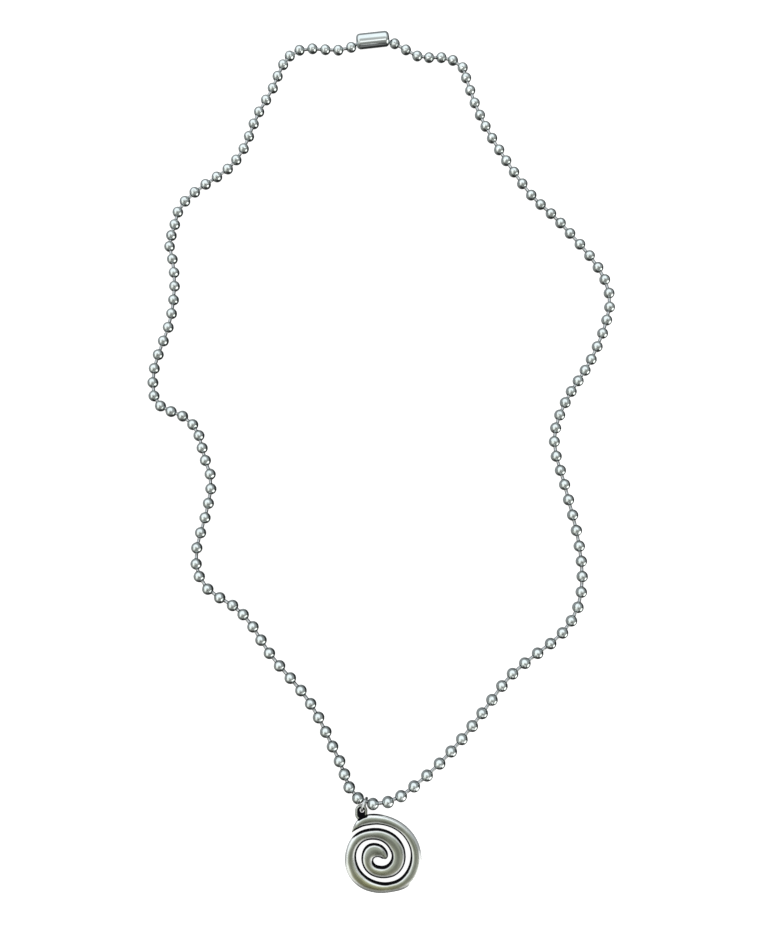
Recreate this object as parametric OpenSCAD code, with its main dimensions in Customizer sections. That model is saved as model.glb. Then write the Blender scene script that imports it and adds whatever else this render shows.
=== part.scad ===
/* [Chain] */
// Diameter of the chain's balls
ball_d = 3.2; // [3.1:0.05:3.3]
// Diameter of the link wire between two balls
link_d = 0.7; // [0.6:0.05:0.75]

/* [Connector] */
// Length of the barrel that joins the chain's ends
barrel_len = 10.2; // [10:0.1:10.3]
// Outside diameter of the barrel
barrel_d = 4.7; // [4.6:0.05:4.8]
// Thickness of the barrel's sheet metal
barrel_wall = 0.35; // [0.3:0.01:0.35]
// Radius of the barrel's rounded shoulders
barrel_round = 1.2; // [1.1:0.1:1.3]
// Diameter of the hole in each end of the barrel
barrel_hole_d = 1.8; // [1.7:0.05:1.9]
// Width of the slot along the barrel
barrel_slot_w = 1.4; // [1.35:0.05:1.5]

/* [Jump ring] */
// Outside diameter of the jump ring
ring_od = 4.1; // [4.05:0.05:4.15]
// Diameter of the jump ring's wire
ring_wire_d = 0.6; // [0.5:0.05:0.65]
// Angle at which the standing ring leans, in degrees
ring_lean = 9; // [6:1:10]

/* [Pendant] */
// Thickness of the pendant at the crown of its band
pendant_t = 2.5; // [2.4:0.05:2.7]
// How far the band's rounded shoulders fall below its crown
shoulder_drop = 0.75; // [0.6:0.05:0.9]
// How far the shoulders reach in from the band's edges
shoulder_reach = 0.5; // [0.4:0.05:0.6]
// Diameter of the cast loop's wire
loop_wire_d = 0.8; // [0.75:0.01:0.85]
// Diameter of the cast loop's hole
loop_hole_d = 1.65; // [1.6:0.05:1.7]

/* [Hidden] */
$fn = 48;

ball_r = ball_d / 2;
link_r = link_d / 2;

// The chain's route along its middle, anticlockwise from the connector: each row is a ball's place
// on the surface in millimetres. The first and last balls are inside the connector, and the jump
// ring hangs between the rows RING_ROW and RING_ROW + 1.
X = 0;
Y = 1;
RING_ROW = 36;
ROUTE = [
    [-6.5, 122.75],
    [-10, 121],
    [-14, 120],
    [-22, 120.5],
    [-26, 120],
    [-29, 118],
    [-31, 115],
    [-34, 107],
    [-38, 99],
    [-44.5, 83],
    [-47, 80],
    [-53.5, 75],
    [-59.5, 69.5],
    [-61.5, 66],
    [-62.25, 62],
    [-63.5, 55],
    [-62.5, 51],
    [-61.5, 42.5],
    [-62, 34],
    [-66.5, 13],
    [-66, 9],
    [-64, 6],
    [-57.5, 3],
    [-54.5, 0.5],
    [-50.5, -10],
    [-49, -14],
    [-50, -26.5],
    [-52, -35],
    [-52, -39.5],
    [-51, -43],
    [-48.5, -46.5],
    [-41.5, -51],
    [-38.5, -53.5],
    [-31, -64],
    [-19.5, -77.5],
    [-11.5, -92.5],
    [-6.5, -102],
    [-2.5, -103.5],
    [1.5, -103],
    [5, -101.5],
    [8.5, -99],
    [18.5, -90],
    [27, -80],
    [35.5, -69.5],
    [42.5, -64],
    [49.5, -58.5],
    [54, -51.5],
    [55.5, -43],
    [55, -34.5],
    [51.5, -17],
    [49, -4.5],
    [49.5, -0.5],
    [52.5, 7],
    [60.5, 20],
    [65.5, 32],
    [66.5, 36],
    [53, 62.5],
    [44.5, 71.5],
    [39.5, 79],
    [28, 102],
    [25.5, 110.5],
    [24.5, 114],
    [21.5, 116.5],
    [10.5, 118],
    [3.5, 122.25],
    [-0.25, 123.5],
];
LAST = len(ROUTE) - 1;

// Every ball lies on the surface but the two that the connector holds at its own height.
function height(row) = row == 0 || row == LAST ? barrel_d / 2 : ball_r;
function middle(row) = [ROUTE[row][X], ROUTE[row][Y], height(row)];
function unit(v) = v / norm(v);

// The tube's heading at a row: the mean of the two stretches that meet there.
function heading(row) =
    row == 0 ? unit(middle(1) - middle(0)) :
    row == LAST ? unit(middle(LAST) - middle(LAST - 1)) :
    unit(unit(middle(row + 1) - middle(row)) + unit(middle(row) - middle(row - 1)));

// A ring of the tube is its middle, its heading and its radius.
function whole_ring(row) = [middle(row), heading(row), ball_r];

// Between two balls the tube narrows to the link wire, along a sphere's outline.
NECK_STEPS = [0.72, 0.97];
function ball_outline(step) = max(link_r, ball_r * sqrt(1 - step * step));
function neck(row) =
    let (a = middle(row), b = middle(row + 1), along = unit(b - a))
    [
        for (step = NECK_STEPS) [a + along * ball_r * step, along, ball_outline(step)],
        for (step = [NECK_STEPS[1], NECK_STEPS[0]]) [b - along * ball_r * step, along, ball_outline(step)],
    ];

function end_ring(row, side) =
    [middle(row) + heading(row) * side * ball_r * NECK_STEPS[0], heading(row), ball_outline(NECK_STEPS[0])];

TUBE_RINGS = concat(
    [end_ring(0, -1), whole_ring(0)], neck(0),
    [for (row = [1 : RING_ROW]) whole_ring(row)], neck(RING_ROW),
    [for (row = [RING_ROW + 1 : LAST - 1]) whole_ring(row)], neck(LAST - 1),
    [whole_ring(LAST), end_ring(LAST, 1)]
);

// A tube of SIDES flat sides swept through its rings, lying on a flat side.
SIDES = 8;
function ring_points(ring) =
    let (
        side = unit(cross([0, 0, 1], ring[1])),
        up = cross(ring[1], side),
        r = ring[2] / cos(180 / SIDES)
    )
    [for (k = [0 : SIDES - 1]) let (a = (k + 0.5) * 360 / SIDES) ring[0] + r * (cos(a) * side + sin(a) * up)];

// The faces of a sweep whose sections have n points each, counted clockwise seen from outside.
function sweep_faces(sections, n) = concat(
    [[for (k = [0 : n - 1]) k]],
    [
        for (s = [0 : sections - 2], k = [0 : n - 1])
            let (a = s * n + k, b = s * n + (k + 1) % n, c = a + n, d = b + n)
            each [[a, c, b], [b, c, d]]
    ],
    [[for (k = [n - 1 : -1 : 0]) (sections - 1) * n + k]]
);

// The jump ring stands between two balls, so its middle and heading follow from theirs.
link_middle = (middle(RING_ROW) + middle(RING_ROW + 1)) / 2;
link_along = unit(middle(RING_ROW + 1) - middle(RING_ROW));
link_angle = atan2(link_along[Y], link_along[X]);
to_pendant = [link_along[Y], -link_along[X], 0];
ring_r = (ring_od - ring_wire_d) / 2;
RING_OFFSET = 0.83;
ring_middle = [
    link_middle[X] + to_pendant[X] * RING_OFFSET,
    link_middle[Y] + to_pendant[Y] * RING_OFFSET,
    ring_r * cos(ring_lean) + ring_wire_d / 2,
];

// The connector lies on the surface about the chain's two last balls. Its slot faces down toward
// the loop's inside, where both link wires leave it.
CONNECTOR_MIDDLE = [-3.3, 123.05];
CONNECTOR_ANGLE = 7;
SLOT_BELOW_LEVEL = 35;

// The spiral is set out from its eye: each row is an angle turned clockwise from the tail's tip,
// with the band's inner and outer edges there.
EYE = [-0.4, -117.5];
TIP_ANGLE = 139;
TURN = 0;
INNER = 1;
OUTER = 2;
BAND = [
    [0, 10.15, 10.3],
    [10, 9.8, 11.15],
    [20, 9.5, 11.75],
    [30, 9.1, 11.75],
    [60, 8.55, 10.85],
    [90, 8.35, 10.6],
    [120, 8.15, 10.75],
    [150, 7.65, 10.7],
    [180, 7.05, 9.85],
    [210, 6.2, 8.5],
    [240, 5.7, 8.3],
    [270, 5.75, 8.8],
    [300, 6.15, 9.35],
    [330, 6.6, 9.45],
    [360, 6.4, 9.2],
    [390, 5.25, 8.1],
    [420, 4.25, 7.4],
    [450, 3.45, 7.05],
    [480, 3.05, 6.8],
    [510, 2.6, 6.35],
    [540, 2.2, 5.65],
    [570, 1.9, 4.85],
    [600, 1.8, 4.55],
    [630, 1.95, 4.7],
    [660, 2.05, 4.95],
    [690, 1.75, 5.15],
    [710, 1.2, 5.15],
    [730, 0.75, 4.8],
    [760, 0.45, 3.8],
    [790, 0.4, 2.95],
    [815, 0.4, 2.45],
    [830, 0.45, 2.2],
    [845, 0.65, 1.8],
    [856, 0.95, 1.4],
];
BAND_STEP = 10;
BAND_LAST = len(BAND) - 1;

// The slope of an edge at a row, from the rows on each side of it.
function edge_slope(row, edge) =
    let (a = max(row - 1, 0), b = min(row + 1, BAND_LAST))
    (BAND[b][edge] - BAND[a][edge]) / (BAND[b][TURN] - BAND[a][TURN]);

// An edge between two rows follows a cubic that keeps both rows' slopes.
function edge_between(row, edge, u) =
    let (
        span = BAND[row + 1][TURN] - BAND[row][TURN],
        p = BAND[row][edge],
        q = BAND[row + 1][edge],
        dp = edge_slope(row, edge) * span,
        dq = edge_slope(row + 1, edge) * span
    )
    p * (2 * u ^ 3 - 3 * u ^ 2 + 1) + q * (3 * u ^ 2 - 2 * u ^ 3)
    + dp * (u ^ 3 - 2 * u ^ 2 + u) + dq * (u ^ 3 - u ^ 2);

BAND_RIBS = concat(
    [
        for (row = [0 : BAND_LAST - 1])
            let (steps = max(1, round((BAND[row + 1][TURN] - BAND[row][TURN]) / BAND_STEP)))
            for (i = [0 : steps - 1])
                let (u = i / steps)
                [
                    BAND[row][TURN] + (BAND[row + 1][TURN] - BAND[row][TURN]) * u,
                    edge_between(row, INNER, u),
                    edge_between(row, OUTER, u),
                ]
    ],
    [BAND[BAND_LAST]]
);

// The upper half of the band's section: how far in from the edge, as a share of the shoulder's
// reach, and how far below the crown, as a share of the shoulder's drop.
SHOULDER = [[0, 1], [0.1, 0.68], [0.34, 0.36], [0.75, 0.14], [1.5, 0.04]];
FULL_WIDTH = 2.2;
function rib_points(rib) =
    let (
        width = rib[OUTER] - rib[INNER],
        share = min(1, width / FULL_WIDTH),
        reach = shoulder_reach * share,
        crown = pendant_t - shoulder_drop * (1 - share),
        angle = TIP_ANGLE - rib[TURN],
        profile = concat(
            [[rib[OUTER], 0]],
            [for (s = SHOULDER) [rib[OUTER] - reach * s[0], crown - shoulder_drop * share * s[1]]],
            [[rib[INNER] + width / 2, crown]],
            [for (k = [len(SHOULDER) - 1 : -1 : 0]) let (s = SHOULDER[k])
                [rib[INNER] + reach * s[0], crown - shoulder_drop * share * s[1]]],
            [[rib[INNER], 0]]
        )
    )
    [for (p = profile) [p[0] * cos(angle), p[0] * sin(angle), p[1]]];
RIB_POINTS = 2 * len(SHOULDER) + 3;

// The cast loop is a flat oval under the jump ring. Its lower end is in the band's edge, and a web
// fills the oval there up to the round hole.
LOOP_MIDDLE = [-5.6, -105.2, 1.5];
LOOP_LEG = 0.9;
WEB_T = 0.6;
loop_r = (loop_hole_d + loop_wire_d) / 2;

module torus(r, wire_r, angle = 360) {
    rotate_extrude(angle = angle) translate([r, 0]) circle(r = wire_r);
}

module rounded_half(r, length, corner) {
    translate([0, corner - length / 2]) square([r, length - 2 * corner]);
    translate([0, -length / 2]) square([r - corner, length]);
    for (end = [-1, 1]) translate([r - corner, end * (length / 2 - corner)]) circle(r = corner);
}

module chain() {
    color("lightsteelblue") polyhedron(
        points = [for (ring = TUBE_RINGS) each ring_points(ring)],
        faces = sweep_faces(len(TUBE_RINGS), SIDES)
    );
}

module barrel_shell() {
    inner_r = barrel_d / 2 - barrel_wall;
    inner_len = barrel_len - 2 * barrel_wall;
    rotate_extrude() intersection() {
        difference() {
            rounded_half(barrel_d / 2, barrel_len, barrel_round);
            rounded_half(inner_r, inner_len, barrel_round - barrel_wall);
        }
        translate([barrel_hole_d / 2, -barrel_len]) square([barrel_d, 2 * barrel_len]);
    }
}

module connector() {
    color("silver")
    translate([CONNECTOR_MIDDLE[X], CONNECTOR_MIDDLE[Y], barrel_d / 2])
    rotate([0, 0, CONNECTOR_ANGLE])
    difference() {
        rotate([0, 90, 0]) barrel_shell();
        rotate([SLOT_BELOW_LEVEL, 0, 0]) translate([-barrel_len, -barrel_d, -barrel_slot_w / 2])
            cube([2 * barrel_len, barrel_d, barrel_slot_w]);
    }
}

module jump_ring() {
    color("gainsboro")
    translate(ring_middle)
    rotate([0, 90 - ring_lean, link_angle])
    torus(ring_r, ring_wire_d / 2);
}

module spiral_band() {
    translate([EYE[X], EYE[Y], 0]) polyhedron(
        points = [for (rib = BAND_RIBS) each rib_points(rib)],
        faces = sweep_faces(len(BAND_RIBS), RIB_POINTS)
    );
}

module cast_loop() {
    translate(LOOP_MIDDLE) {
        torus(loop_r, loop_wire_d / 2, 180);
        translate([0, -LOOP_LEG, 0]) rotate(180) torus(loop_r, loop_wire_d / 2, 180);
        for (side = [-1, 1])
            translate([side * loop_r, 0, 0]) rotate([90, 0, 0]) cylinder(r = loop_wire_d / 2, h = LOOP_LEG);
        difference() {
            translate([0, -LOOP_LEG, -WEB_T / 2]) cylinder(r = loop_r, h = WEB_T);
            translate([0, 0, -WEB_T]) cylinder(d = loop_hole_d, h = 2 * WEB_T);
        }
    }
}

module spiral_pendant() {
    color("darkgray") union() {
        spiral_band();
        cast_loop();
    }
}

chain();
connector();
jump_ring();
spiral_pendant();
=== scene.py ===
# %% [markdown]
# A ball chain necklace with a cast spiral pendant.
# The necklace lies in a loose loop on a pale surface: 138 small hollow balls on link wires, a
# barrel connector at the top, and at the bottom a jump ring that carries a spiral cast in pewter.
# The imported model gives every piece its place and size, in metres, so it is loaded first.

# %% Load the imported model
from math import atan2, cos, hypot, pi, radians, sin

import bmesh
import bpy
from mathutils import Matrix, Vector


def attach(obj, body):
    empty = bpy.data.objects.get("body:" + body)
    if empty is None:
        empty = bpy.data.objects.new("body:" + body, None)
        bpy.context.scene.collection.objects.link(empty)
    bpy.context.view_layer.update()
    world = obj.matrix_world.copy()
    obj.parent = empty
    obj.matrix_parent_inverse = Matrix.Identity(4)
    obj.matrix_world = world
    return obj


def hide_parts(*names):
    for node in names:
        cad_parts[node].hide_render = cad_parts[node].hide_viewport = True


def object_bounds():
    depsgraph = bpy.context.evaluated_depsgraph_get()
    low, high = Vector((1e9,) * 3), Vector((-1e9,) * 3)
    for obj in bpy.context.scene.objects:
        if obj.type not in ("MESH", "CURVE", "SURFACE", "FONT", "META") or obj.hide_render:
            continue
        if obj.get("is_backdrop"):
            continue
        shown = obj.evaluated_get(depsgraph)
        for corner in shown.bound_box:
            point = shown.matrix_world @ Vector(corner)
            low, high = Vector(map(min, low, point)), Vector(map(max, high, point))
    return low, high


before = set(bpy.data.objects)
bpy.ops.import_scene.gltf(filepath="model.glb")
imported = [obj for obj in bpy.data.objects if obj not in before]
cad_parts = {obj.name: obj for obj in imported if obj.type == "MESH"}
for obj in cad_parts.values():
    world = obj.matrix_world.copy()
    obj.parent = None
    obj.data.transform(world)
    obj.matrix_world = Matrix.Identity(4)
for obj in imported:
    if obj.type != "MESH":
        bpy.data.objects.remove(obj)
cad_low, cad_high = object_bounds()
MM = 0.001


def in_mm(lengths, digits=1):
    """Lengths in rounded millimetres, for printing."""
    return [round(v / MM, digits) for v in lengths]


print("packed nodes:", sorted(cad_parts))
print("packed box in mm:", in_mm((*cad_low, *cad_high)))

# %% [markdown]
# The camera.
# The photograph looks down on the necklace from just short of straight above: the balls at the
# top are drawn a little smaller than those at the bottom. A lens of 39 mm, eleven and a half
# degrees from the vertical, repeats that. It could also be aimed by a Track To constraint, but a
# turn about X alone is easier to read.

# %% Place the camera
CAMERA_PLACE = (2.05 * MM, -69.8 * MM, 284.7 * MM)
CAMERA_TILT = radians(11.5)
LENS = 39.1
NEAREST, FARTHEST = 0.01, 20
bpy.ops.object.camera_add(location=CAMERA_PLACE, rotation=(CAMERA_TILT, 0, 0))
camera = bpy.context.object
camera.data.lens = LENS
camera.data.clip_start, camera.data.clip_end = NEAREST, FARTHEST
bpy.context.scene.camera = camera
print("camera at", in_mm(camera.location), "mm, lens", camera.data.lens)

# %% [markdown]
# The chain's route.
# A laid-down chain keeps its length but bends at each link, so its shape is a loose line of short
# straight steps. The route is a short table of balls in millimetres: from the connector's left end
# down the left side, round the pendant's link and up the right side. A smooth curve through them
# gives the places of the balls in between. A real curve object would do too, but here the balls
# need to sit at even steps between known ones.

# %% The balls that the route passes through
BALL_R = 1.6 * MM
BARREL_R = 2.35 * MM
ROUTE = [Vector((x * MM, y * MM, 0)) for x, y in (
    (-6.5, 122.75), (-10, 121), (-14, 120), (-22, 120.5), (-26, 120), (-29, 118), (-31, 115),
    (-34, 107), (-38, 99), (-44.5, 83), (-47, 80), (-53.5, 75), (-59.5, 69.5), (-61.5, 66),
    (-62.25, 62), (-63.5, 55), (-62.5, 51), (-61.5, 42.5), (-62, 34), (-66.5, 13), (-66, 9),
    (-64, 6), (-57.5, 3), (-54.5, 0.5), (-50.5, -10), (-49, -14), (-50, -26.5), (-52, -35),
    (-52, -39.5), (-51, -43), (-48.5, -46.5), (-41.5, -51), (-38.5, -53.5), (-31, -64),
    (-19.5, -77.5), (-11.5, -92.5), (-6.5, -102), (-2.5, -103.5), (1.5, -103), (5, -101.5),
    (8.5, -99), (18.5, -90), (27, -80), (35.5, -69.5), (42.5, -64), (49.5, -58.5), (54, -51.5),
    (55.5, -43), (55, -34.5), (51.5, -17), (49, -4.5), (49.5, -0.5), (52.5, 7), (60.5, 20),
    (65.5, 32), (66.5, 36), (53, 62.5), (44.5, 71.5), (39.5, 79), (28, 102), (25.5, 110.5),
    (24.5, 114), (21.5, 116.5), (10.5, 118), (3.5, 122.25), (-0.25, 123.5))]
for row, place in enumerate(ROUTE):
    place.z = BARREL_R if row in (0, len(ROUTE) - 1) else BALL_R
print("route rows:", len(ROUTE))


# %% Even places between two known balls
def smooth(a, b, start, end, u):
    """What lies a share u along a smooth line that leaves a by start and reaches b by end."""
    return (a * (2 * u ** 3 - 3 * u ** 2 + 1) + b * (3 * u ** 2 - 2 * u ** 3)
            + start * (u ** 3 - 2 * u ** 2 + u) + end * (u ** 3 - u ** 2))


def leaving(row):
    """The route's heading at a row, nearer to that of the shorter of the two steps there."""
    before, after = ROUTE[max(row - 1, 0)], ROUTE[min(row + 1, len(ROUTE) - 1)]
    back, on = ROUTE[row] - before, after - ROUTE[row]
    if not back.length or not on.length:
        return (after - before).normalized()
    return (back.normalized() * on.length + on.normalized() * back.length).normalized()


def between(row, u):
    """A point of the smooth curve from one row to the next."""
    a, b = ROUTE[row], ROUTE[row + 1]
    step = (b - a).length
    return smooth(a, b, leaving(row) * step, leaving(row + 1) * step, u)


# %% String the balls
USUAL_PITCH = 4.2 * MM
RING_ROW = 36
PARTS = 100
balls = []
for row in range(len(ROUTE) - 1):
    count = max(1, round((ROUTE[row + 1] - ROUTE[row]).length / USUAL_PITCH))
    if row == RING_ROW:
        ring_link = len(balls)
    line = [between(row, k / PARTS) for k in range(PARTS + 1)]
    walked = [0.0]
    for a, b in zip(line, line[1:]):
        walked.append(walked[-1] + (b - a).length)
    for ball_number in range(count):
        goal = walked[-1] * ball_number / count
        balls.append(line[min(range(PARTS + 1), key=lambda k: abs(walked[k] - goal))])
balls.append(ROUTE[-1].copy())
# By the barrel the curve dips a hair on its way down, and a ball can't sink into the table.
for place in balls:
    place.z = max(place.z, BALL_R)
steps = [(b - a).length for a, b in zip(balls, balls[1:])]
print("balls:", len(balls), "shortest, longest and all steps in mm:",
      in_mm((min(steps), max(steps), sum(steps))))

# %% [markdown]
# Working by hand in code.
# Blender's operators act on whatever is selected, and the loaded model arrives selected. So each
# step first selects one object alone, and inside Edit Mode picks faces or edges by where they are.
# What every piece goes through, from its first primitive to its shading, is written once here.


# %% Start a piece and select as a hand would
def begin(name, add, **shape):
    """Adds a primitive by itself and names it."""
    bpy.ops.object.select_all(action="DESELECT")
    add(**shape)
    bpy.context.object.name = name
    return bpy.context.object


def only(piece):
    """Selects one object and nothing else."""
    bpy.ops.object.select_all(action="DESELECT")
    piece.select_set(True)
    bpy.context.view_layer.objects.active = piece


class Editing:
    """Edit Mode on one piece alone, and Object Mode again after it."""

    def __init__(self, piece):
        self.piece = piece

    def __enter__(self):
        only(self.piece)
        bpy.ops.object.mode_set(mode="EDIT")

    def __exit__(self, *trouble):
        bpy.ops.object.mode_set(mode="OBJECT")


def pick(piece, kind, test):
    """In Edit Mode, selects the verts, edges or faces whose middle passes a test."""
    bpy.ops.mesh.select_mode(type={"verts": "VERT", "edges": "EDGE", "faces": "FACE"}[kind])
    bpy.ops.mesh.select_all(action="DESELECT")
    shape = bmesh.from_edit_mesh(piece.data)
    found = 0
    for part in getattr(shape, kind):
        if kind == "verts":
            middle = part.co
        elif kind == "edges":
            middle = (part.verts[0].co + part.verts[1].co) / 2
        else:
            middle = part.calc_center_median()
        if test(middle, part):
            part.select_set(True)
            found += 1
    shape.select_flush_mode()
    bmesh.update_edit_mesh(piece.data)
    return found


# %% Finish a shape
def facing_out(piece):
    """Turns all faces of a closed shape outward."""
    with Editing(piece):
        bpy.ops.mesh.select_all(action="SELECT")
        bpy.ops.mesh.normals_make_consistent(inside=False)


def settle(piece):
    """Puts an object's place and turn into its mesh."""
    only(piece)
    bpy.ops.object.transform_apply(location=True, rotation=True, scale=True)


def modify(piece, kind, **settings):
    """Gives a piece a modifier with these settings and applies it."""
    only(piece)
    step = piece.modifiers.new("step", kind)
    for name, value in settings.items():
        setattr(step, name, value)
    bpy.ops.object.modifier_apply(modifier=step.name)


def shade(piece, degrees):
    """Shades a piece smooth, all but the edges that are sharper than this."""
    only(piece)
    bpy.ops.object.shade_smooth_by_angle(angle=radians(degrees))
    print(piece.name, "has", len(piece.data.polygons), "faces")


# %% [markdown]
# One ball.
# A chain ball is a hollow bead stamped from thin strip and closed round the wire, so it has a
# small collar with a dark hole at each end. It starts as a sphere with its poles on the chain's
# line. Each polar cap is inset and drawn out into the collar, then inset again and pushed in as
# the hole. A sphere alone would look like a pearl on a string.

# %% Model one ball
CAP = 0.92 * BALL_R
# How far each inset goes in and then out, in mm: the collar, its lip and the hole.
COLLAR = ((0.06, 0.04), (0.07, -0.12), (0.03, -0.2))
ball = begin("ball", bpy.ops.mesh.primitive_uv_sphere_add, segments=24, ring_count=18,
             radius=BALL_R)
ball.data.materials.append(bpy.data.materials.new("ball_steel"))
with Editing(ball):
    for end in (1, -1):
        pick(ball, "faces", lambda middle, face: middle.z * end > CAP)
        for inward, outward in COLLAR:
            bpy.ops.mesh.inset(thickness=inward * MM, depth=outward * MM)
shade(ball, degrees=50)

# %% [markdown]
# One link wire.
# Each link is a short wire with a head inside each of its two balls. It starts as a cylinder. Its
# ends are drawn out and widened a little, and then drawn out and narrowed, into the heads that
# catch behind the balls' holes. Ball and link each carry a material of their own from the start,
# so that joining them keeps these apart.

# %% Model one link
LINK_R = 0.46 * MM
LINK_HALF = 0.95 * MM
# How far each step of the head is drawn out, in mm, and how much wider that end gets.
HEAD = ((0.04, 1.05), (0.06, 0.6))
link = begin("link", bpy.ops.mesh.primitive_cylinder_add, vertices=10, radius=LINK_R,
             depth=2 * LINK_HALF)
link.data.materials.append(bpy.data.materials.new("link_steel"))
with Editing(link):
    for end in (1, -1):
        pick(link, "faces", lambda middle, face: middle.z * end > 0.9 * LINK_HALF)
        for out, wider in HEAD:
            bpy.ops.mesh.extrude_region_move(
                TRANSFORM_OT_translate={"value": (0, 0, end * out * MM)})
            bpy.ops.transform.resize(value=(wider, wider, 1))
shade(link, degrees=50)

# %% [markdown]
# The whole chain.
# An Array along a curve would turn and stretch the balls, so each one is a copy with its own mesh
# that is turned to the line between its neighbours and moved to its place. Every copy is also
# rolled about that line by an angle of its own, as stamped balls are in a real chain. All are
# joined into one piece at the end.


# %% Copies and where they go
def lay_along(middle, heading, roll):
    """The turn and place that put a shape's Z on a heading, rolled about it."""
    turn = heading.to_track_quat("Z", "Y").to_matrix().to_4x4()
    return Matrix.Translation(middle) @ turn @ Matrix.Rotation(roll, 4, "Z")


def copy_of(piece, matrix):
    """A copy with its own mesh, moved there."""
    twin = piece.copy()
    twin.data = piece.data.copy()
    twin.data.transform(matrix)
    bpy.context.collection.objects.link(twin)
    return twin


# %% Copy the ball and the link along the route
GOLDEN_ROLL = radians(137.5)
LINK_STARTS = 0.84 * BALL_R
copies = []
for k, place in enumerate(balls):
    heading = balls[min(k + 1, len(balls) - 1)] - balls[max(k - 1, 0)]
    copies.append(copy_of(ball, lay_along(place, heading.normalized(), k * GOLDEN_ROLL)))
for k, (a, b) in enumerate(zip(balls, balls[1:])):
    stretch = ((b - a).length / 2 - LINK_STARTS) / LINK_HALF
    laid = lay_along((a + b) / 2, (b - a).normalized(), k * GOLDEN_ROLL)
    copies.append(copy_of(link, laid @ Matrix.Diagonal((1, 1, stretch, 1))))
chain = copies[0]
only(chain)
for piece in copies:
    piece.select_set(True)
bpy.ops.object.join()
chain.name = "ball_chain"
for start in (ball, link):
    bpy.data.objects.remove(start)
print(chain.name, "has", len(chain.data.polygons), "faces")

# %% [markdown]
# The barrel connector.
# It is rolled from sheet steel: rounded shoulders, a hole in each end, and a slot on the side
# that turns down, through which the last balls are slipped in. A cylinder gets bevelled rims,
# open ends and a slot cut between two planes, and then a wall of real thickness.

# %% Roll the barrel
BARREL_LEN = 10.2 * MM
SHOULDER = 1.2 * MM
END_LIP = 0.25 * MM
SLOT_HALF = 0.7 * MM
# Two ways of being close: on a plane, and round a line or by a rim.
HAIR, NEAR = 0.001 * MM, 0.1 * MM
connector = begin("barrel_connector", bpy.ops.mesh.primitive_cylinder_add, vertices=48,
                  radius=BARREL_R, depth=BARREL_LEN)
with Editing(connector):
    pick(connector, "edges",
         lambda middle, edge: abs(edge.verts[0].co.z - edge.verts[1].co.z) < HAIR)
    bpy.ops.mesh.bevel(offset=SHOULDER, segments=7, profile=0.5, affect="EDGES")
    pick(connector, "faces", lambda middle, face: abs(middle.z) > BARREL_LEN / 2 - HAIR)
    bpy.ops.mesh.inset(thickness=END_LIP, use_individual=True)
    pick(connector, "faces", lambda middle, face: abs(middle.z) > BARREL_LEN / 2 - HAIR
         and hypot(middle.x, middle.y) < NEAR)
    bpy.ops.mesh.delete(type="FACE")
    for side in (1, -1):
        bpy.ops.mesh.select_all(action="SELECT")
        bpy.ops.mesh.bisect(plane_co=(0, side * SLOT_HALF, 0), plane_no=(0, 1, 0))
    pick(connector, "faces", lambda middle, face: abs(middle.y) < SLOT_HALF and middle.x > 0)
    bpy.ops.mesh.delete(type="FACE")
print("barrel sheet:", len(connector.data.polygons), "faces")

# %% Give the sheet its thickness
BARREL_WALL = 0.35 * MM
EDGE_ROUND, EDGE_SHARPER_THAN = 0.05 * MM, radians(50)
modify(connector, "SOLIDIFY", thickness=BARREL_WALL, offset=-1, use_even_offset=True)
modify(connector, "BEVEL", width=EDGE_ROUND, segments=2, limit_method="ANGLE",
       angle_limit=EDGE_SHARPER_THAN)
shade(connector, degrees=40)

# %% Lay the barrel down
# Z of the cylinder goes along the barrel, and its X, where the slot is, down and forward.
CONNECTOR_ANGLE = radians(7)
SLOT_BELOW_LEVEL = radians(35)
CONNECTOR_MIDDLE = Vector((-3.3 * MM, 122.93 * MM, BARREL_R))
along = Vector((cos(CONNECTOR_ANGLE), sin(CONNECTOR_ANGLE), 0))
forward = Vector((sin(CONNECTOR_ANGLE), -cos(CONNECTOR_ANGLE), 0))
slot_way = forward * cos(SLOT_BELOW_LEVEL) + Vector((0, 0, -sin(SLOT_BELOW_LEVEL)))
across = along.cross(slot_way)
turn = Matrix((slot_way, across, along)).transposed().to_4x4()
connector.matrix_world = Matrix.Translation(CONNECTOR_MIDDLE) @ turn
settle(connector)
print("barrel at", in_mm(CONNECTOR_MIDDLE), "mm")

# %% [markdown]
# The jump ring.
# A jump ring is a turn of round wire with a saw cut where it was opened. It stands between two
# balls, over the link wire, and leans a little. It starts as a torus. One slice is deleted and
# both open ends are drawn toward each other and closed, which leaves the fine cut.

# %% Where the ring hangs
RING_WIRE_R = 0.3 * MM
RING_R = 2.05 * MM - RING_WIRE_R
RING_LEAN = radians(9)
RING_DROP = 0.83 * MM
link_start, link_end = balls[ring_link:ring_link + 2]
link_middle = (link_start + link_end) / 2
link_along = (link_end - link_start).normalized()
LINK_ANGLE = atan2(link_along.y, link_along.x)
to_pendant = Vector((link_along.y, -link_along.x, 0))
ring_middle = link_middle + to_pendant * RING_DROP
ring_middle.z = RING_R * cos(RING_LEAN) + RING_WIRE_R
print("ring over the link at", in_mm(link_middle, 2))

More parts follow.
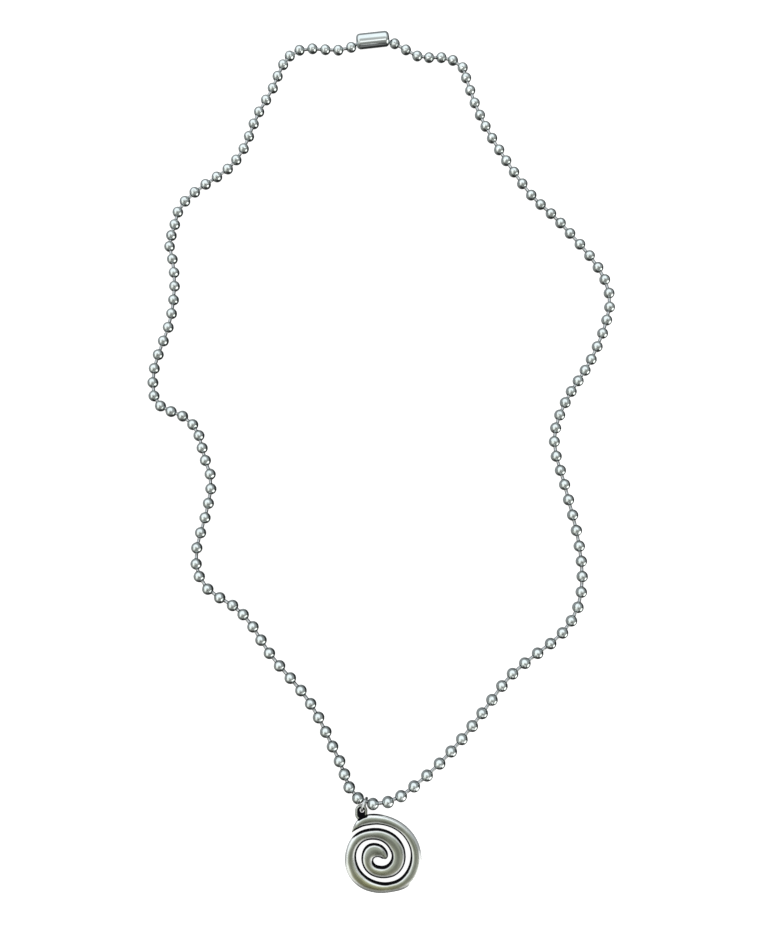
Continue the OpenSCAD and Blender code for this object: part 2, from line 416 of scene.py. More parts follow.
# %% Bend the ring
RING_SLICES = 64
HALF_SLICE = pi / RING_SLICES
END_GROWS = 0.065 * MM
CUT_TURN = radians(75)
ring = begin("jump_ring_wire", bpy.ops.mesh.primitive_torus_add, major_segments=RING_SLICES,
             minor_segments=14, major_radius=RING_R, minor_radius=RING_WIRE_R)
with Editing(ring):
    pick(ring, "faces", lambda middle, face:
         abs(atan2(middle.y, middle.x) - HALF_SLICE) < HALF_SLICE * 0.9)
    bpy.ops.mesh.delete(type="FACE")
    for side, angle in ((1, 0), (-1, 2 * HALF_SLICE)):
        pick(ring, "edges", lambda middle, edge: edge.is_boundary
             and abs(atan2(middle.y, middle.x) - angle) < 0.5 * HALF_SLICE)
        shift = END_GROWS * side
        bpy.ops.mesh.extrude_region_move(
            TRANSFORM_OT_translate={"value": (-sin(angle) * shift, cos(angle) * shift, 0)})
        bpy.ops.mesh.edge_face_add()
ring.matrix_world = (Matrix.Translation(ring_middle) @ Matrix.Rotation(LINK_ANGLE, 4, "Z")
                     @ Matrix.Rotation(pi / 2 - RING_LEAN, 4, "Y")
                     @ Matrix.Rotation(CUT_TURN, 4, "Z"))
settle(ring)
facing_out(ring)
shade(ring, degrees=50)

# %% [markdown]
# The spiral pendant.
# The casting is one band that widens and narrows as it winds in from a sharp tail to a blunt end
# by the eye. It is set out as a jeweller would: at each angle, how far the band's inner and outer
# edges are from the eye. A short edge starts at the tail and is extruded from angle to angle, so
# the strip follows the table exactly. A Screw modifier makes only even spirals.

# %% The spiral's setting out
EYE = Vector((-0.4 * MM, -117.5 * MM, 0))
TIP_ANGLE = 139
# Each row: degrees from the tail's tip, and how far both edges are from the eye in mm.
BAND = (
    (0, 10.15, 10.3), (10, 9.8, 11.15), (20, 9.5, 11.75), (30, 9.1, 11.75), (60, 8.55, 10.85),
    (90, 8.35, 10.6), (120, 8.15, 10.75), (150, 7.65, 10.7), (180, 7.05, 9.85), (210, 6.2, 8.5),
    (240, 5.7, 8.3), (270, 5.75, 8.8), (300, 6.15, 9.35), (330, 6.6, 9.45), (360, 6.4, 9.2),
    (390, 5.25, 8.1), (420, 4.25, 7.4), (450, 3.45, 7.05), (480, 3.05, 6.8), (510, 2.6, 6.35),
    (540, 2.2, 5.65), (570, 1.9, 4.85), (600, 1.8, 4.55), (630, 1.95, 4.7), (660, 2.05, 4.95),
    (690, 1.75, 5.15), (710, 1.2, 5.15), (730, 0.75, 4.8), (760, 0.45, 3.8), (790, 0.4, 2.95),
    (815, 0.4, 2.45), (830, 0.45, 2.2), (845, 0.65, 1.8), (856, 0.95, 1.4))
INNER, OUTER = 1, 2
FULL_TURN = BAND[-1][0]


def row_of(table, turn):
    """The last row of a table that starts at a turn or before it and has a row after it."""
    return max(k for k in range(len(table) - 1) if table[k][0] <= turn)


def edge_at(turn, column):
    """How far an edge of the band is from the eye at a turn, smooth through the table."""
    row = row_of(BAND, turn)

    def slope(k):
        a, b = BAND[max(k - 1, 0)], BAND[min(k + 1, len(BAND) - 1)]
        return (b[column] - a[column]) / (b[0] - a[0])

    span = BAND[row + 1][0] - BAND[row][0]
    return MM * smooth(BAND[row][column], BAND[row + 1][column], slope(row) * span,
                       slope(row + 1) * span, (turn - BAND[row][0]) / span)


# %% Stations along the band
# They stand closer together in the sharp tail, whose edges curve most.
TAIL_END, TAIL_STEP, STEP = 44, 2, 4


def on_band(turn, column):
    """The point of an edge at a turn, on the surface that the pendant lies on."""
    angle = radians(TIP_ANGLE - turn)
    return EYE + Vector((cos(angle), sin(angle), 0)) * edge_at(turn, column)


stations = [(turn, on_band(turn, INNER), on_band(turn, OUTER))
            for turn in (*range(0, TAIL_END, TAIL_STEP), *range(TAIL_END, FULL_TURN + 1, STEP))]
print("stations along the band:", len(stations))


# %% Extrude the strip along the spiral
def move_end(piece, inner_to, outer_to):
    """Moves the two selected points of the strip's open end to the next station."""
    shape = bmesh.from_edit_mesh(piece.data)
    ends = sorted((v for v in shape.verts if v.select), key=lambda v: (v.co - EYE).length)
    for vert, goal in zip(ends, (inner_to, outer_to)):
        bpy.ops.mesh.select_all(action="DESELECT")
        vert.select_set(True)
        bpy.ops.transform.translate(value=goal - vert.co)
    for vert in ends:
        vert.select_set(True)
    shape.select_flush_mode()


pendant = begin("spiral_casting", bpy.ops.mesh.primitive_plane_add, size=1 * MM)
with Editing(pendant):
    pick(pendant, "verts", lambda middle, vert: middle.y > 0)
    bpy.ops.mesh.delete(type="VERT")
    bpy.ops.mesh.select_mode(type="VERT")
    bpy.ops.mesh.select_all(action="SELECT")
    move_end(pendant, *stations[0][1:])
    for turn, inner, outer in stations[1:]:
        bpy.ops.mesh.extrude_region_move(TRANSFORM_OT_translate={"value": (0, 0, 0)})
        move_end(pendant, inner, outer)
print("strip:", len(pendant.data.vertices), "points,", len(pendant.data.polygons), "faces")

# %% [markdown]
# Thickness and crown.
# The strip is cut across into narrow rails, drawn up to the height of its side walls, and then
# each rail is lifted by its share of the crown, high in the middle and low at the edges. That
# gives the soft pillow of a tumbled casting. Where the band is narrow its crown is lowered in
# proportion, and near the sharp tail and at the inner end its walls are lowered too.

# %% Where a point is on the band
TURN_SLACK = 0.01
EDGE_SLACK = 0.02 * MM


def around(point):
    """How far a point is from the eye, and its turn on the first winding."""
    flat = Vector((point.x - EYE.x, point.y - EYE.y))
    return flat.length, (TIP_ANGLE - atan2(flat.y, flat.x) * 180 / pi) % 360


def band_place(point):
    """A point's turn, share of the way to the outer edge and band width; None off the band."""
    reach, first = around(point)
    for turn in (first, first + 360, first + 720, first - 360):
        turn = turn if abs(turn) > TURN_SLACK else 0
        if not 0 <= turn <= FULL_TURN + TURN_SLACK:
            continue
        turn = min(turn, FULL_TURN - TURN_SLACK / 100)
        inner, outer = edge_at(turn, INNER), edge_at(turn, OUTER)
        if inner - EDGE_SLACK < reach < outer + EDGE_SLACK:
            return turn, (reach - inner) / (outer - inner), outer - inner
    return None


def crosses(middle, edge):
    """True for an edge that runs straight from the band's inner edge to its outer."""
    a, b = (Vector((v.co.x - EYE.x, v.co.y - EYE.y)) for v in edge.verts)
    return abs(a.angle_signed(b)) < radians(0.2)


# %% Cut, raise and crown the strip
RAILS = 12
WALL_TOP = 1.85 * MM
CROWN = 0.65 * MM
CROWN_WIDTH = 2.8 * MM
FULL_WIDTH = 1.6 * MM
with Editing(pendant):
    print("cross edges:", pick(pendant, "edges", crosses))
    bpy.ops.mesh.subdivide(number_cuts=RAILS - 1)
    bpy.ops.mesh.select_mode(type="FACE")
    bpy.ops.mesh.select_all(action="SELECT")
    bpy.ops.mesh.extrude_region_move(TRANSFORM_OT_translate={"value": (0, 0, WALL_TOP)})
    for rail in range(1, RAILS):
        pick(pendant, "verts", lambda middle, vert: middle.z > WALL_TOP / 2
             and abs(band_place(middle)[1] * RAILS - rail) < 0.4)
        lift = CROWN * (1 - (2 * rail / RAILS - 1) ** 2)
        bpy.ops.transform.translate(value=(0, 0, lift))
    for station, inner, outer in stations:
        width = (outer - inner).length
        if width < CROWN_WIDTH:
            pick(pendant, "verts", lambda middle, vert: middle.z > WALL_TOP / 2
                 and abs(band_place(middle)[0] - station) < 0.5)
            bpy.ops.transform.resize(value=(1, 1, width / CROWN_WIDTH),
                                     center_override=(0, 0, WALL_TOP))
        if width < FULL_WIDTH:
            bpy.ops.transform.resize(value=(1, 1, width / FULL_WIDTH),
                                     center_override=(0, 0, WALL_TOP / 2))
facing_out(pendant)
print("band:", len(pendant.data.polygons), "faces, top in mm:",
      in_mm([max(v.co.z for v in pendant.data.vertices)], 2))

# %% [markdown]
# The cast loop.
# The pendant hangs by a small loop that is part of the casting: a flat oval of round wire whose
# lower end runs into the band's edge under the tail, with a thin web across it that leaves just the
# hole for the ring; the web is painted black, as the shade inside the loop. A torus is drawn out
# into the oval, a disc drawn out in the same way and cut through makes the web, and both are united
# with the band, so that all is one metal.

# %% Model the loop and its web
LOOP_MIDDLE = Vector((-5.6, -105.2, 1.5)) * MM
LOOP_WIRE_R = 0.4 * MM
LOOP_R = 0.825 * MM + LOOP_WIRE_R
LOOP_LEG = 0.9 * MM
WEB_HALF = 0.3 * MM
loop = begin("loop", bpy.ops.mesh.primitive_torus_add, major_segments=48, minor_segments=16,
             location=LOOP_MIDDLE, major_radius=LOOP_R, minor_radius=LOOP_WIRE_R)
web = begin("web", bpy.ops.mesh.primitive_cylinder_add, vertices=48, radius=LOOP_R,
            depth=2 * WEB_HALF, location=LOOP_MIDDLE)
for piece in (loop, web):
    with Editing(piece):
        pick(piece, "verts", lambda middle, vert: middle.y < -HAIR)
        bpy.ops.transform.translate(value=(0, -LOOP_LEG, 0))
    settle(piece)
print("loop wire and web:", len(loop.data.polygons), "and", len(web.data.polygons), "faces")


# %% Cut the hole and unite all with the band
def combine(piece, tool, operation):
    """Cuts a closed shape out of a piece or unites the two, and uses the shape up."""
    modify(piece, "BOOLEAN", operation=operation, solver="EXACT", object=tool)
    bpy.data.objects.remove(tool)


HOLE_R = 0.6 * MM
HOLE_BACK = 0.08 * MM
ring_passes = ring_middle + to_pendant * (RING_R - HOLE_BACK)
hole = begin("hole", bpy.ops.mesh.primitive_cylinder_add, vertices=48, radius=HOLE_R,
             depth=4 * WEB_HALF, location=(ring_passes.x, ring_passes.y, LOOP_MIDDLE.z))
settle(hole)
print("the ring passes the loop at", in_mm(ring_passes, 2))
combine(web, hole, "DIFFERENCE")
combine(loop, web, "UNION")
combine(pendant, loop, "UNION")
shade(pendant, degrees=42)
shape = bmesh.new()
shape.from_mesh(pendant.data)
print("open edges:", sum(not e.is_manifold for e in shape.edges),
      "volume", round(shape.calc_volume() / MM ** 3), "mm3")
shape.free()

# %% [markdown]
# Black recesses, painted shade and bright edges.
# Such castings are dipped to turn them black and then tumbled. That polishes all but the narrow
# channels between the turns, and the edges more than the broad crown. The mesh carries two numbers
# at each point: how black it is and how bright its edges are. The black of the channels is the
# dip's own; the black in the loop's hole and on its web, round its foot, where its wire meets the
# band and along the band's top edge is painted shade. The bright edges are partly the tumbling's
# polish and partly a painted reflection of the pale floor. How far the black creeps up from the
# channels differs from turn to turn, so it has a table of its own. A painted mask would do the
# same, but the shape already says where the tumbling could reach.

# %% How far the black creeps in from the inner edge
# Each row: degrees from the tail's tip, and the width of the black in mm.
CREEP_ROWS = ((0, 1.1), (94, 0.85), (139, 1.12), (184, 1.1), (229, 0.9), (274, 0.84),
              (319, 0.92), (364, 1.12), (454, 1.3), (499, 1.38), (544, 1.3), (589, 1.08),
              (634, 1.08), (679, 0.87), (724, 1.1), (FULL_TURN, 1.1))


def creep_at(turn):
    """How wide the black is along the inner edge at a turn."""
    row = row_of(CREEP_ROWS, turn)
    (start, wide), (end, wide_at_end) = CREEP_ROWS[row], CREEP_ROWS[row + 1]
    return MM * (wide + (wide_at_end - wide) * (turn - start) / (end - start))


def fade(distance, over):
    """1 at no distance, and down to 0 over this much of it."""
    return max(0.0, 1 - distance / over)


# %% How far the black reaches elsewhere
# In from the outer edge; and, as painted shade, into the loop's hole, round its foot, and down from
# the top edge.
OUTER_CREEP, HOLE_FADE, FOOT_FADE, TOP_LINE = 1.05 * MM, 0.3 * MM, 0.35 * MM, 0.45 * MM
# The turn from which the band has a channel outside it too, and how soon that is black.
CHANNEL_FROM, CHANNEL_SOON = 340, 24
# The turn round which the band's top edge is painted dark as shade, and how far that goes each way.
TOP_TURN, TOP_SPREAD = 40, 30
# The loop's wire stands by the band before this turn and beyond this share of its width, and
# there the band is painted dark as shade.
LOOP_TURN, LOOP_SHARE = 60, 0.8


def from_loop_line(point):
    """How far a point is from the oval in the middle of the loop's wire; less than 0 inside."""
    nearest_y = min(LOOP_MIDDLE.y, max(LOOP_MIDDLE.y - LOOP_LEG, point.y))
    return hypot(point.x - LOOP_MIDDLE.x, point.y - nearest_y) - LOOP_R


# %% Mark the recesses
def dip_and_shade(point):
    """1 in the recesses and the painted shade, 0 where the tumbling has polished the metal."""
    loop_gap = from_loop_line(point)
    place = band_place(point)
    if place is None:
        # Off the band, the loop's hole and web and its foot by the band are painted shade.
        reach, first = around(point)
        foot_shade = fade(abs(reach - edge_at(first, OUTER)), FOOT_FADE)
        return min(1.0, max(-loop_gap / HOLE_FADE, foot_shade))
    turn, share, width = place
    if share < 0.5:
        channel = fade(share * width, creep_at(turn))
    else:
        channel = fade((1 - share) * width, OUTER_CREEP)
        channel *= min(1.0, max(0.0, (turn - CHANNEL_FROM) / CHANNEL_SOON))
    # Painted shade where the loop's wire meets the band, and along the band's top edge.
    crease_shade = 0.0
    if share > LOOP_SHARE and turn < LOOP_TURN:
        crease_shade = fade(max(0.0, loop_gap - LOOP_WIRE_R), HOLE_FADE)
    top_edge_shade = fade((1 - share) * width, TOP_LINE) * fade(abs(turn - TOP_TURN), TOP_SPREAD)
    return max(channel, crease_shade, top_edge_shade)


# %% Mark the polished edges with their painted reflection, and put both marks on the mesh
# How far in from the edges the polish and its painted reflection reach, and how much the loop has.
RUBBED_SHEEN_REACH = 1.5 * MM
LOOP_RUBBED_SHEEN = 0.4


def rubbing_and_sheen(point):
    """1 at the edges of the band and 0 along its middle; in between on the loop."""
    place = band_place(point)
    if place is None:
        return LOOP_RUBBED_SHEEN
    _, share, width = place
    return fade(min(share, 1 - share) * max(width, CROWN_WIDTH), RUBBED_SHEEN_REACH)


for name, rule in (("blackened_and_shade", dip_and_shade), ("rubbed_sheen", rubbing_and_sheen)):
    marks = [rule(vert.co) for vert in pendant.data.vertices]
    pendant.data.attributes.new(name, "FLOAT", "POINT").data.foreach_set("value", marks)
    print(name, "over a half:", sum(m > 0.5 for m in marks), "of", len(marks), "points")

# %% [markdown]
# Shader maths in words.
# A finish is a small net of nodes. To read it as sums, a Tone wraps one socket and gives it plus,
# minus, times and the like. Every other node comes from one method, which takes the node's kind,
# its settings and the values or links of its sockets.


# %% A tone is a socket that can be reckoned with
class Tone:
    """A number that varies over a surface."""

    def __init__(self, bench, socket):
        self.bench, self.socket = bench, socket

    def _math(self, operation, *terms):
        return self.bench.node("ShaderNodeMath", {"operation": operation},
                               dict(enumerate(terms)))

    def __add__(self, other):
        return self._math("ADD", self, other)

    def __sub__(self, other):
        return self._math("SUBTRACT", self, other)

    def __rsub__(self, other):
        return self._math("SUBTRACT", other, self)

    def __mul__(self, other):
        return self._math("MULTIPLY", self, other)

    def __abs__(self):
        return self._math("ABSOLUTE", self)

    __radd__ = __add__
    __rmul__ = __mul__

    def most(self, other):
        """The larger of the two."""
        return self._math("MAXIMUM", self, other)

    def ease(self, start, end):
        """0 up to start, 1 from end on, smooth between them; start may be the larger."""
        return self.bench.node("ShaderNodeMapRange", {"interpolation_type": "SMOOTHSTEP"},
                               {"Value": self, "From Min": start, "From Max": end})


# %% The bench that makes the nodes
# A Mix node's colour sockets share their names with its number sockets, so they go by number.
MIX_A, MIX_B, MIX_RESULT = 6, 7, 2


class Bench:
    """Makes the nodes of one node tree."""

    def __init__(self, tree):
        self.tree = tree
        tree.nodes.clear()

    def node(self, kind, settings=None, values=None, out=0):
        """A new node with its settings, then its sockets' values or links, as one output."""
        made = self.tree.nodes.new(kind)
        for name, value in (settings or {}).items():
            setattr(made, name, value)
        for name, value in (values or {}).items():
            if isinstance(value, Tone):
                self.tree.links.new(value.socket, made.inputs[name])
            else:
                made.inputs[name].default_value = value
        return Tone(self, made.outputs[out]) if made.outputs else None

    def blend(self, share, a, b, way="MIX"):
        """Colour a where share is 0, and colour b, or a times b, where it is 1."""
        a, b = ((*c, 1) if isinstance(c, tuple) else c for c in (a, b))
        return self.node("ShaderNodeMix", {"data_type": "RGBA", "blend_type": way},
                         {"Factor": share, MIX_A: a, MIX_B: b}, MIX_RESULT)

    def parts(self, vector):
        """The numbers that a vector is made of."""
        split = self.node("ShaderNodeSeparateXYZ", {}, {"Vector": vector}).socket.node
        return [Tone(self, socket) for socket in split.outputs]

    def attribute(self, name):
        """The numbers that a mesh carries under a name."""
        return self.node("ShaderNodeAttribute", {"attribute_name": name}, out="Fac")

    def grain(self, place, clouds, detail):
        """Cloudy noise from 0 to 1, with about so many clouds to the metre."""
        return self.node("ShaderNodeTexNoise", {}, {"Vector": place, "Scale": clouds,
                                                    "Detail": detail, "Roughness": 0.55})

    def stretched(self, place, angle, stretch):
        """Coordinates turned about Z and stretched, for marks that run one way."""
        turned = self.node("ShaderNodeMapping", {"vector_type": "TEXTURE"},
                           {"Vector": place, "Rotation": (0, 0, angle)})
        return self.node("ShaderNodeVectorMath", {"operation": "MULTIPLY"},
                         {0: turned, 1: stretch})


# %% Materials and metal surfaces
def new_finish(name):
    """A material, its bench and the place of each point of the piece, in metres."""
    material = bpy.data.materials.get(name) or bpy.data.materials.new(name)
    material.use_nodes = True
    bench = Bench(material.node_tree)
    return material, bench, bench.node("ShaderNodeTexCoord", out="Object")


def metal(bench, colour, roughness, height, strength, depth, metallic=1.0):
    """A metal surface from its colour, roughness and a height for the bump."""
    bump = bench.node("ShaderNodeBump", {}, {"Strength": strength, "Distance": depth,
                                             "Height": height})
    surface = bench.node("ShaderNodeBsdfPrincipled", {}, {
        "Base Color": colour, "Metallic": metallic, "Roughness": roughness, "Normal": bump,
        "Specular IOR Level": 0.0})
    bench.node("ShaderNodeOutputMaterial", {}, {"Surface": surface})


# %% [markdown]
# The chain's finish.
# The balls are nickel-plated steel, bright but handled: faint cloudy wear in the gloss, a hairline
# seam where the strip meets, and painted shade in the collars round the wire. The seam and the
# collars follow each ball, so they read the ball's own UV map, which its copies keep. The link
# wire is bare drawn steel and darker.

# %% Finish the balls
NICKEL, PALE_NICKEL = (0.57, 0.61, 0.61), (0.65, 0.69, 0.69)
# The seam's grey, and the dark of the painted shade in the collars.
SEAM_GREY, COLLAR_SHADE = (0.2, 0.2, 0.2), (0.04, 0.04, 0.04)
# How far from the UV map's middle the painted collar shade and the seam start and fully show.
COLLAR_SHOWS, SEAM_SHOWS = (0.3, 0.39), (0.008, 0.003)
ball_steel, bench, place = new_finish("ball_steel")
round_about, end_to_end, _ = bench.parts(bench.node("ShaderNodeUVMap", {"uv_map": "UVMap"}))
collar = abs(end_to_end - 0.5).ease(*COLLAR_SHOWS)
seam = abs(round_about - 0.5).ease(*SEAM_SHOWS)
wear = bench.grain(place, clouds=900, detail=4)
haze = bench.grain(place, clouds=120, detail=2)
dents = bench.grain(place, clouds=420, detail=1)
steel = bench.blend(haze, NICKEL, PALE_NICKEL)
steel = bench.blend(seam * 0.5, steel, SEAM_GREY)
# Painted shade darkens the collars round the wire.
steel = bench.blend(collar * 0.9, steel, COLLAR_SHADE)
metal(bench, steel, roughness=wear * 0.06 + haze * 0.03 + collar * 0.25 + 0.01,
      height=wear * 0.03 + dents - seam * 0.03, strength=1.0, depth=0.2 * MM)

# %% Finish the links
WIRE, PALE_WIRE = (0.32, 0.33, 0.34), (0.5, 0.51, 0.52)
link_steel, bench, place = new_finish("link_steel")
wear = bench.grain(place, clouds=2500, detail=3)
metal(bench, bench.blend(wear, WIRE, PALE_WIRE), roughness=wear * 0.12 + 0.06, height=wear,
      strength=0.2, depth=0.02 * MM)

# %% [markdown]
# The barrel's and the ring's finish.
# The barrel's sheet was rolled lengthwise, so its fine lines run along it and its gloss is broken
# the other way. Noise stretched along the barrel gives both. The ring is plain bright wire, with
# scuffs where it was held by pliers.

# %% Finish the barrel
SHEET, PALE_SHEET, LINE_GREY = (0.57, 0.61, 0.62), (0.66, 0.7, 0.7), (0.3, 0.3, 0.3)
ALONG_IT = (0.04, 1, 1)
barrel_steel, bench, place = new_finish("barrel_steel")
rolled = bench.stretched(place, CONNECTOR_ANGLE, ALONG_IT)
lines = bench.grain(rolled, clouds=5200, detail=3)
smudge = bench.grain(place, clouds=420, detail=3)
steel = bench.blend(smudge, SHEET, PALE_SHEET)
steel = bench.blend(lines.ease(0.62, 0.75) * 0.35, steel, LINE_GREY)
metal(bench, steel, roughness=smudge * 0.05 + lines * 0.04 + 0.025, height=lines,
      strength=0.12, depth=0.02 * MM)

# %% Finish the ring
BRIGHT_WIRE, BRIGHTEST_WIRE = (0.6, 0.61, 0.62), (0.74, 0.75, 0.75)
ring_steel, bench, place = new_finish("ring_steel")
scuff = bench.grain(place, clouds=3200, detail=4)
smudge = bench.grain(place, clouds=700, detail=2)
metal(bench, bench.blend(smudge, BRIGHT_WIRE, BRIGHTEST_WIRE),
      roughness=scuff.ease(0.5, 0.75) * 0.15 + 0.2, height=scuff, strength=0.2, depth=0.02 * MM)

# %% [markdown]
# The pendant's finish.
# Tumbled pewter has a satin gloss with fine scratches in every direction. Along its middle it is
# greyer, with a faint olive cast that is a painted warm reflection, and its edges are bright:
# partly the tumbling's polish and partly a painted reflection of the floor. The lower left is
# painted a little yellower, as a warm reflection. The dip's black stays in the recesses, and
# painted shade darkens the loop's web and foot and the band's top edge. Both have a ragged edge, so
# the marks on the mesh are broken up by noise before they choose between the two.

# %% The pewter's colour
# The satin grey's olive cast is a painted warm reflection.
OLIVE_GREY, PALE_OLIVE = (0.225, 0.235, 0.19), (0.28, 0.29, 0.25)
# The bright of the edges, part polish and part painted reflection, and the grey of the pits.
RUBBED_SHEEN_BRIGHT, PIT_GREY = (0.84, 0.85, 0.84), (0.2, 0.21, 0.17)
# A painted warm reflection yellows the lower left: its tint, its middle, where it ends and is full.
WARM_REFLECTION, WARM_REFLECTION_PLACE = (1.06, 1, 0.7), (-0.003, -0.128, 0.002)
WARM_REFLECTION_ENDS, WARM_REFLECTION_FULL = 12.5 * MM, 4 * MM
# The black of the dip in the recesses, and of the painted shade by the loop and on the top edge.
DIP_AND_SHADE_BLACK = (0.004, 0.004, 0.005)
pewter, bench, place = new_finish("satin_pewter")
cloud = bench.grain(place, clouds=260, detail=3)
fine = bench.grain(place, clouds=5200, detail=4)
# The black mark is the dip and the painted shade; the other is polish and a painted reflection.
mark = bench.attribute("blackened_and_shade")
black = (mark + (cloud - 0.5) * 0.3 + (fine - 0.5) * 0.12).ease(0.4, 0.65)
# The bright edges are the tumbling's polish and a painted reflection of the floor.
rub_sheen = (bench.attribute("rubbed_sheen") + (cloud - 0.5) * 0.25).ease(0.3, 0.7)
# The painted warm reflection fades out from the lower left.
warm_reflection = bench.node("ShaderNodeVectorMath", {"operation": "DISTANCE"},
                     {0: place, 1: WARM_REFLECTION_PLACE}, out="Value").ease(WARM_REFLECTION_ENDS, WARM_REFLECTION_FULL)
satin = bench.blend(cloud.ease(0.3, 0.7), OLIVE_GREY, PALE_OLIVE)
satin = bench.blend(warm_reflection, satin, WARM_REFLECTION, way="MULTIPLY")
satin = bench.blend(rub_sheen, satin, RUBBED_SHEEN_BRIGHT)
satin = bench.blend(fine.ease(0.6, 0.8) * 0.2, satin, PIT_GREY)
pewter_colour = bench.blend(black, satin, DIP_AND_SHADE_BLACK)

# %% The pewter's scratches and surface
LONG_MARKS = (0.08, 1, 1)
one_way = bench.grain(bench.stretched(place, radians(35), LONG_MARKS), clouds=4200, detail=2)
other_way = bench.grain(bench.stretched(place, radians(-50), LONG_MARKS), clouds=3800, detail=2)
scratches = one_way.most(other_way).ease(0.55, 0.8)
metal(bench, pewter_colour, roughness=cloud * 0.08 + scratches * 0.05 + black * 0.4 + 0.22,
      height=fine * 0.4 - scratches * 0.4, strength=0.1, depth=0.03 * MM, metallic=1 - black)

# %% Put the finishes on
for piece, finish in ((connector, barrel_steel), (ring, ring_steel), (pendant, pewter)):
    piece.data.materials.clear()
    piece.data.materials.append(finish)
print("finishes:", [m.name for m in bpy.data.materials if m.users])

# %% [markdown]
# The floor.
# The pale floor curves up on all sides like the paper of a product photographer's table, so that
# no horizon shows from any angle. It starts as a wide cylinder with a bevelled foot and no lid.
# Bright metal shows all that is round it, and here the floor is left out of its reflections: that
# keeps the dark rims that a ball has under a soft light, as in the photograph.

# %% Roll out the floor
FLOOR_R = 2.4
FLOOR_HALF = 1.2
FLOOR_CURVE = 1.1
UNDER_PIECES = 0.02 * MM
floor = begin("paper_floor", bpy.ops.mesh.primitive_cylinder_add, vertices=96, radius=FLOOR_R,
              depth=2 * FLOOR_HALF, location=(0, 0, FLOOR_HALF - UNDER_PIECES))
with Editing(floor):
    pick(floor, "faces", lambda middle, face: middle.z > FLOOR_HALF - NEAR and len(face.verts) > 4)
    bpy.ops.mesh.delete(type="FACE")
    pick(floor, "edges",
         lambda middle, edge: all(v.co.z < -FLOOR_HALF + NEAR for v in edge.verts))
    bpy.ops.mesh.bevel(offset=FLOOR_CURVE, segments=12, profile=0.5, affect="EDGES")
settle(floor)
shade(floor, degrees=40)
floor.visible_glossy = False
floor.visible_shadow = False
floor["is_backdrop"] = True

# %% Finish the floor
PAPER, PALE_PAPER = (0.32, 0.32, 0.32), (0.36, 0.36, 0.36)
paper, bench, place = new_finish("pale_paper")
fibre = bench.grain(place, clouds=700, detail=4)
bump = bench.node("ShaderNodeBump", {}, {"Strength": 0.1, "Distance": 0.1 * MM,
                                         "Height": fibre})
surface = bench.node("ShaderNodeBsdfPrincipled", {}, {
    "Base Color": bench.blend(fibre, PAPER, PALE_PAPER), "Roughness": 0.9, "Normal": bump,
    "Emission Color": (1, 1, 1, 1), "Emission Strength": 0.88})
bench.node("ShaderNodeOutputMaterial", {}, {"Surface": surface})
floor.data.materials.append(paper)
print("floor finish:", paper.name)

# %% [markdown]
# The studio light.
# Bright metal is lit by what it reflects, so the studio is drawn as round patches of light and
# shade in the world. A wide softbox hangs to the upper left and gives each ball its white patch,
# a smaller one to the lower left fills, and one low down at the lower right makes the second
# glint. The camera's own stand is a dim patch overhead, and toward the table the room darkens,
# least on the left. Four small real lights stand for white card and paper close by: one draws the
# bright line along the barrel, one glows under its near side, and two light the pendant from the
# right. The tones are shown as they are, with no film curve, so that white paper stays white.

# %% Set up the cards
HIGH_ABOVE = Vector((-0.003, 0.1025, 1))
# Each row: name, middle, width and height in metres, brightness, and what it faces.
CARDS = (
    ("barrel_card", (0.0008, 0.0895, 0.0515), 0.04, 0.02, 1.35, CONNECTOR_MIDDLE),
    ("paper_glow", (-0.003, 0.1025, 0.0001), 0.014, 0.027, 0.2, HIGH_ABOVE),
    ("small_card", (0.038, -0.124, 0.015), 0.018, 0.012, 1.0, EYE),
    ("side_card", (0.03, -0.148, 0.042), 0.052, 0.048, 0.65, EYE))
for name, middle, width, height, brightness, faced in CARDS:
    bpy.ops.object.light_add(type="AREA", location=middle)
    light = bpy.context.object
    light.name = name
    light.rotation_euler = (faced - Vector(middle)).to_track_quat("-Z", "Y").to_euler()
    light.data.shape = "RECTANGLE"
    light.data.size, light.data.size_y = width, height
    light.data.energy = brightness * pi * width * height
    light.visible_camera = False

# %% The room and its patches
world = bpy.data.worlds.new("dim_studio")
bpy.context.scene.world = world
world.use_nodes = True
bench = Bench(world.node_tree)
direction = bench.node("ShaderNodeTexCoord")
east, north, up = bench.parts(direction)


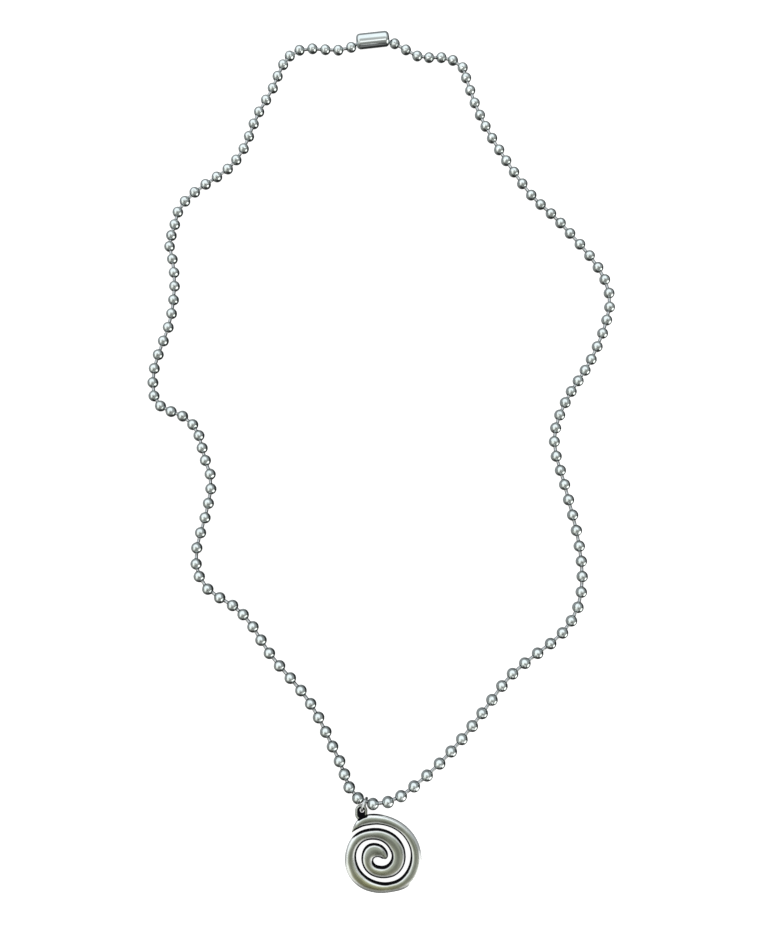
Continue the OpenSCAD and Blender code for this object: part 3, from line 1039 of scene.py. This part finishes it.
def patch(azimuth, zenith, edge, core):
    """A round patch of the room, all in degrees: 0 beyond its edge and 1 in its core."""
    azimuth, zenith = radians(azimuth), radians(zenith)
    middle = (sin(azimuth) * sin(zenith), cos(azimuth) * sin(zenith), cos(zenith))
    facing = bench.node("ShaderNodeVectorMath", {"operation": "DOT_PRODUCT"},
                        {0: direction, 1: middle}, out="Value")
    return facing.ease(cos(radians(edge)), cos(radians(core)))


softbox = patch(azimuth=-42, zenith=26, edge=53, core=46)
left_box = patch(azimuth=234, zenith=62, edge=23, core=17)
camera_stand = patch(azimuth=190, zenith=14, edge=32, core=6)
low_right_box = patch(azimuth=126, zenith=90, edge=25, core=19)
print("the room is drawn with", len(world.node_tree.nodes), "nodes so far")

# %% Light the room
# How bright each patch and side of the room is, and how much the camera's stand takes away.
SOFTBOX, LEFT_BOX, LOW_RIGHT_BOX, STAND_SHADE = 0.9, 0.68, 2, 0.85
CEILING, WALLS, DARKEST = 0.4, 0.23, 0.05
LEFT_GROUND, GROUND = 0.4, 0.045
COOL, WARM = (0.92, 0.98, 1), (0.98, 1, 0.94)
sky = ((up + north * 0.2).ease(-0.2, 1) * CEILING + softbox * SOFTBOX + left_box * LEFT_BOX
       + WALLS)
sky = (sky - camera_stand * STAND_SHADE).most(DARKEST)
ground = (north * 0.52 - east * 0.85).ease(-0.4, 1) * LEFT_GROUND + GROUND
room = bench.node("ShaderNodeBackground", {}, {
    "Color": bench.blend(north.ease(-0.6, 0.5), WARM, COOL),
    "Strength": ground + (sky - ground) * up.ease(-0.15, 0.15) + low_right_box * LOW_RIGHT_BOX})
bench.node("ShaderNodeOutputWorld", {}, {"Surface": room})
bpy.context.scene.view_settings.view_transform = "Standard"
print("world:", world.name, "with", len(world.node_tree.nodes), "nodes")

# %% [markdown]
# Which piece stands for what.
# Each finished piece takes the place of its imported node and rides on the one body that there is.

# %% Tie the pieces to the imported model
for piece, node, slot in ((chain, "chain", "chain_metal"),
                          (connector, "connector", "connector_metal"),
                          (ring, "jump_ring", "ring_metal"),
                          (pendant, "spiral_pendant", "pendant_metal")):
    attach(piece, "root")
    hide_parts(node)
    low, high = (in_mm([end(v.co[k] for v in piece.data.vertices) for k in range(3)], 2)
                 for end in (min, max))
    print(piece.name, "from", low, "to", high)

# %% Measure the visual box
low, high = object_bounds()
print("visual box in mm:", in_mm((*low, *high)))
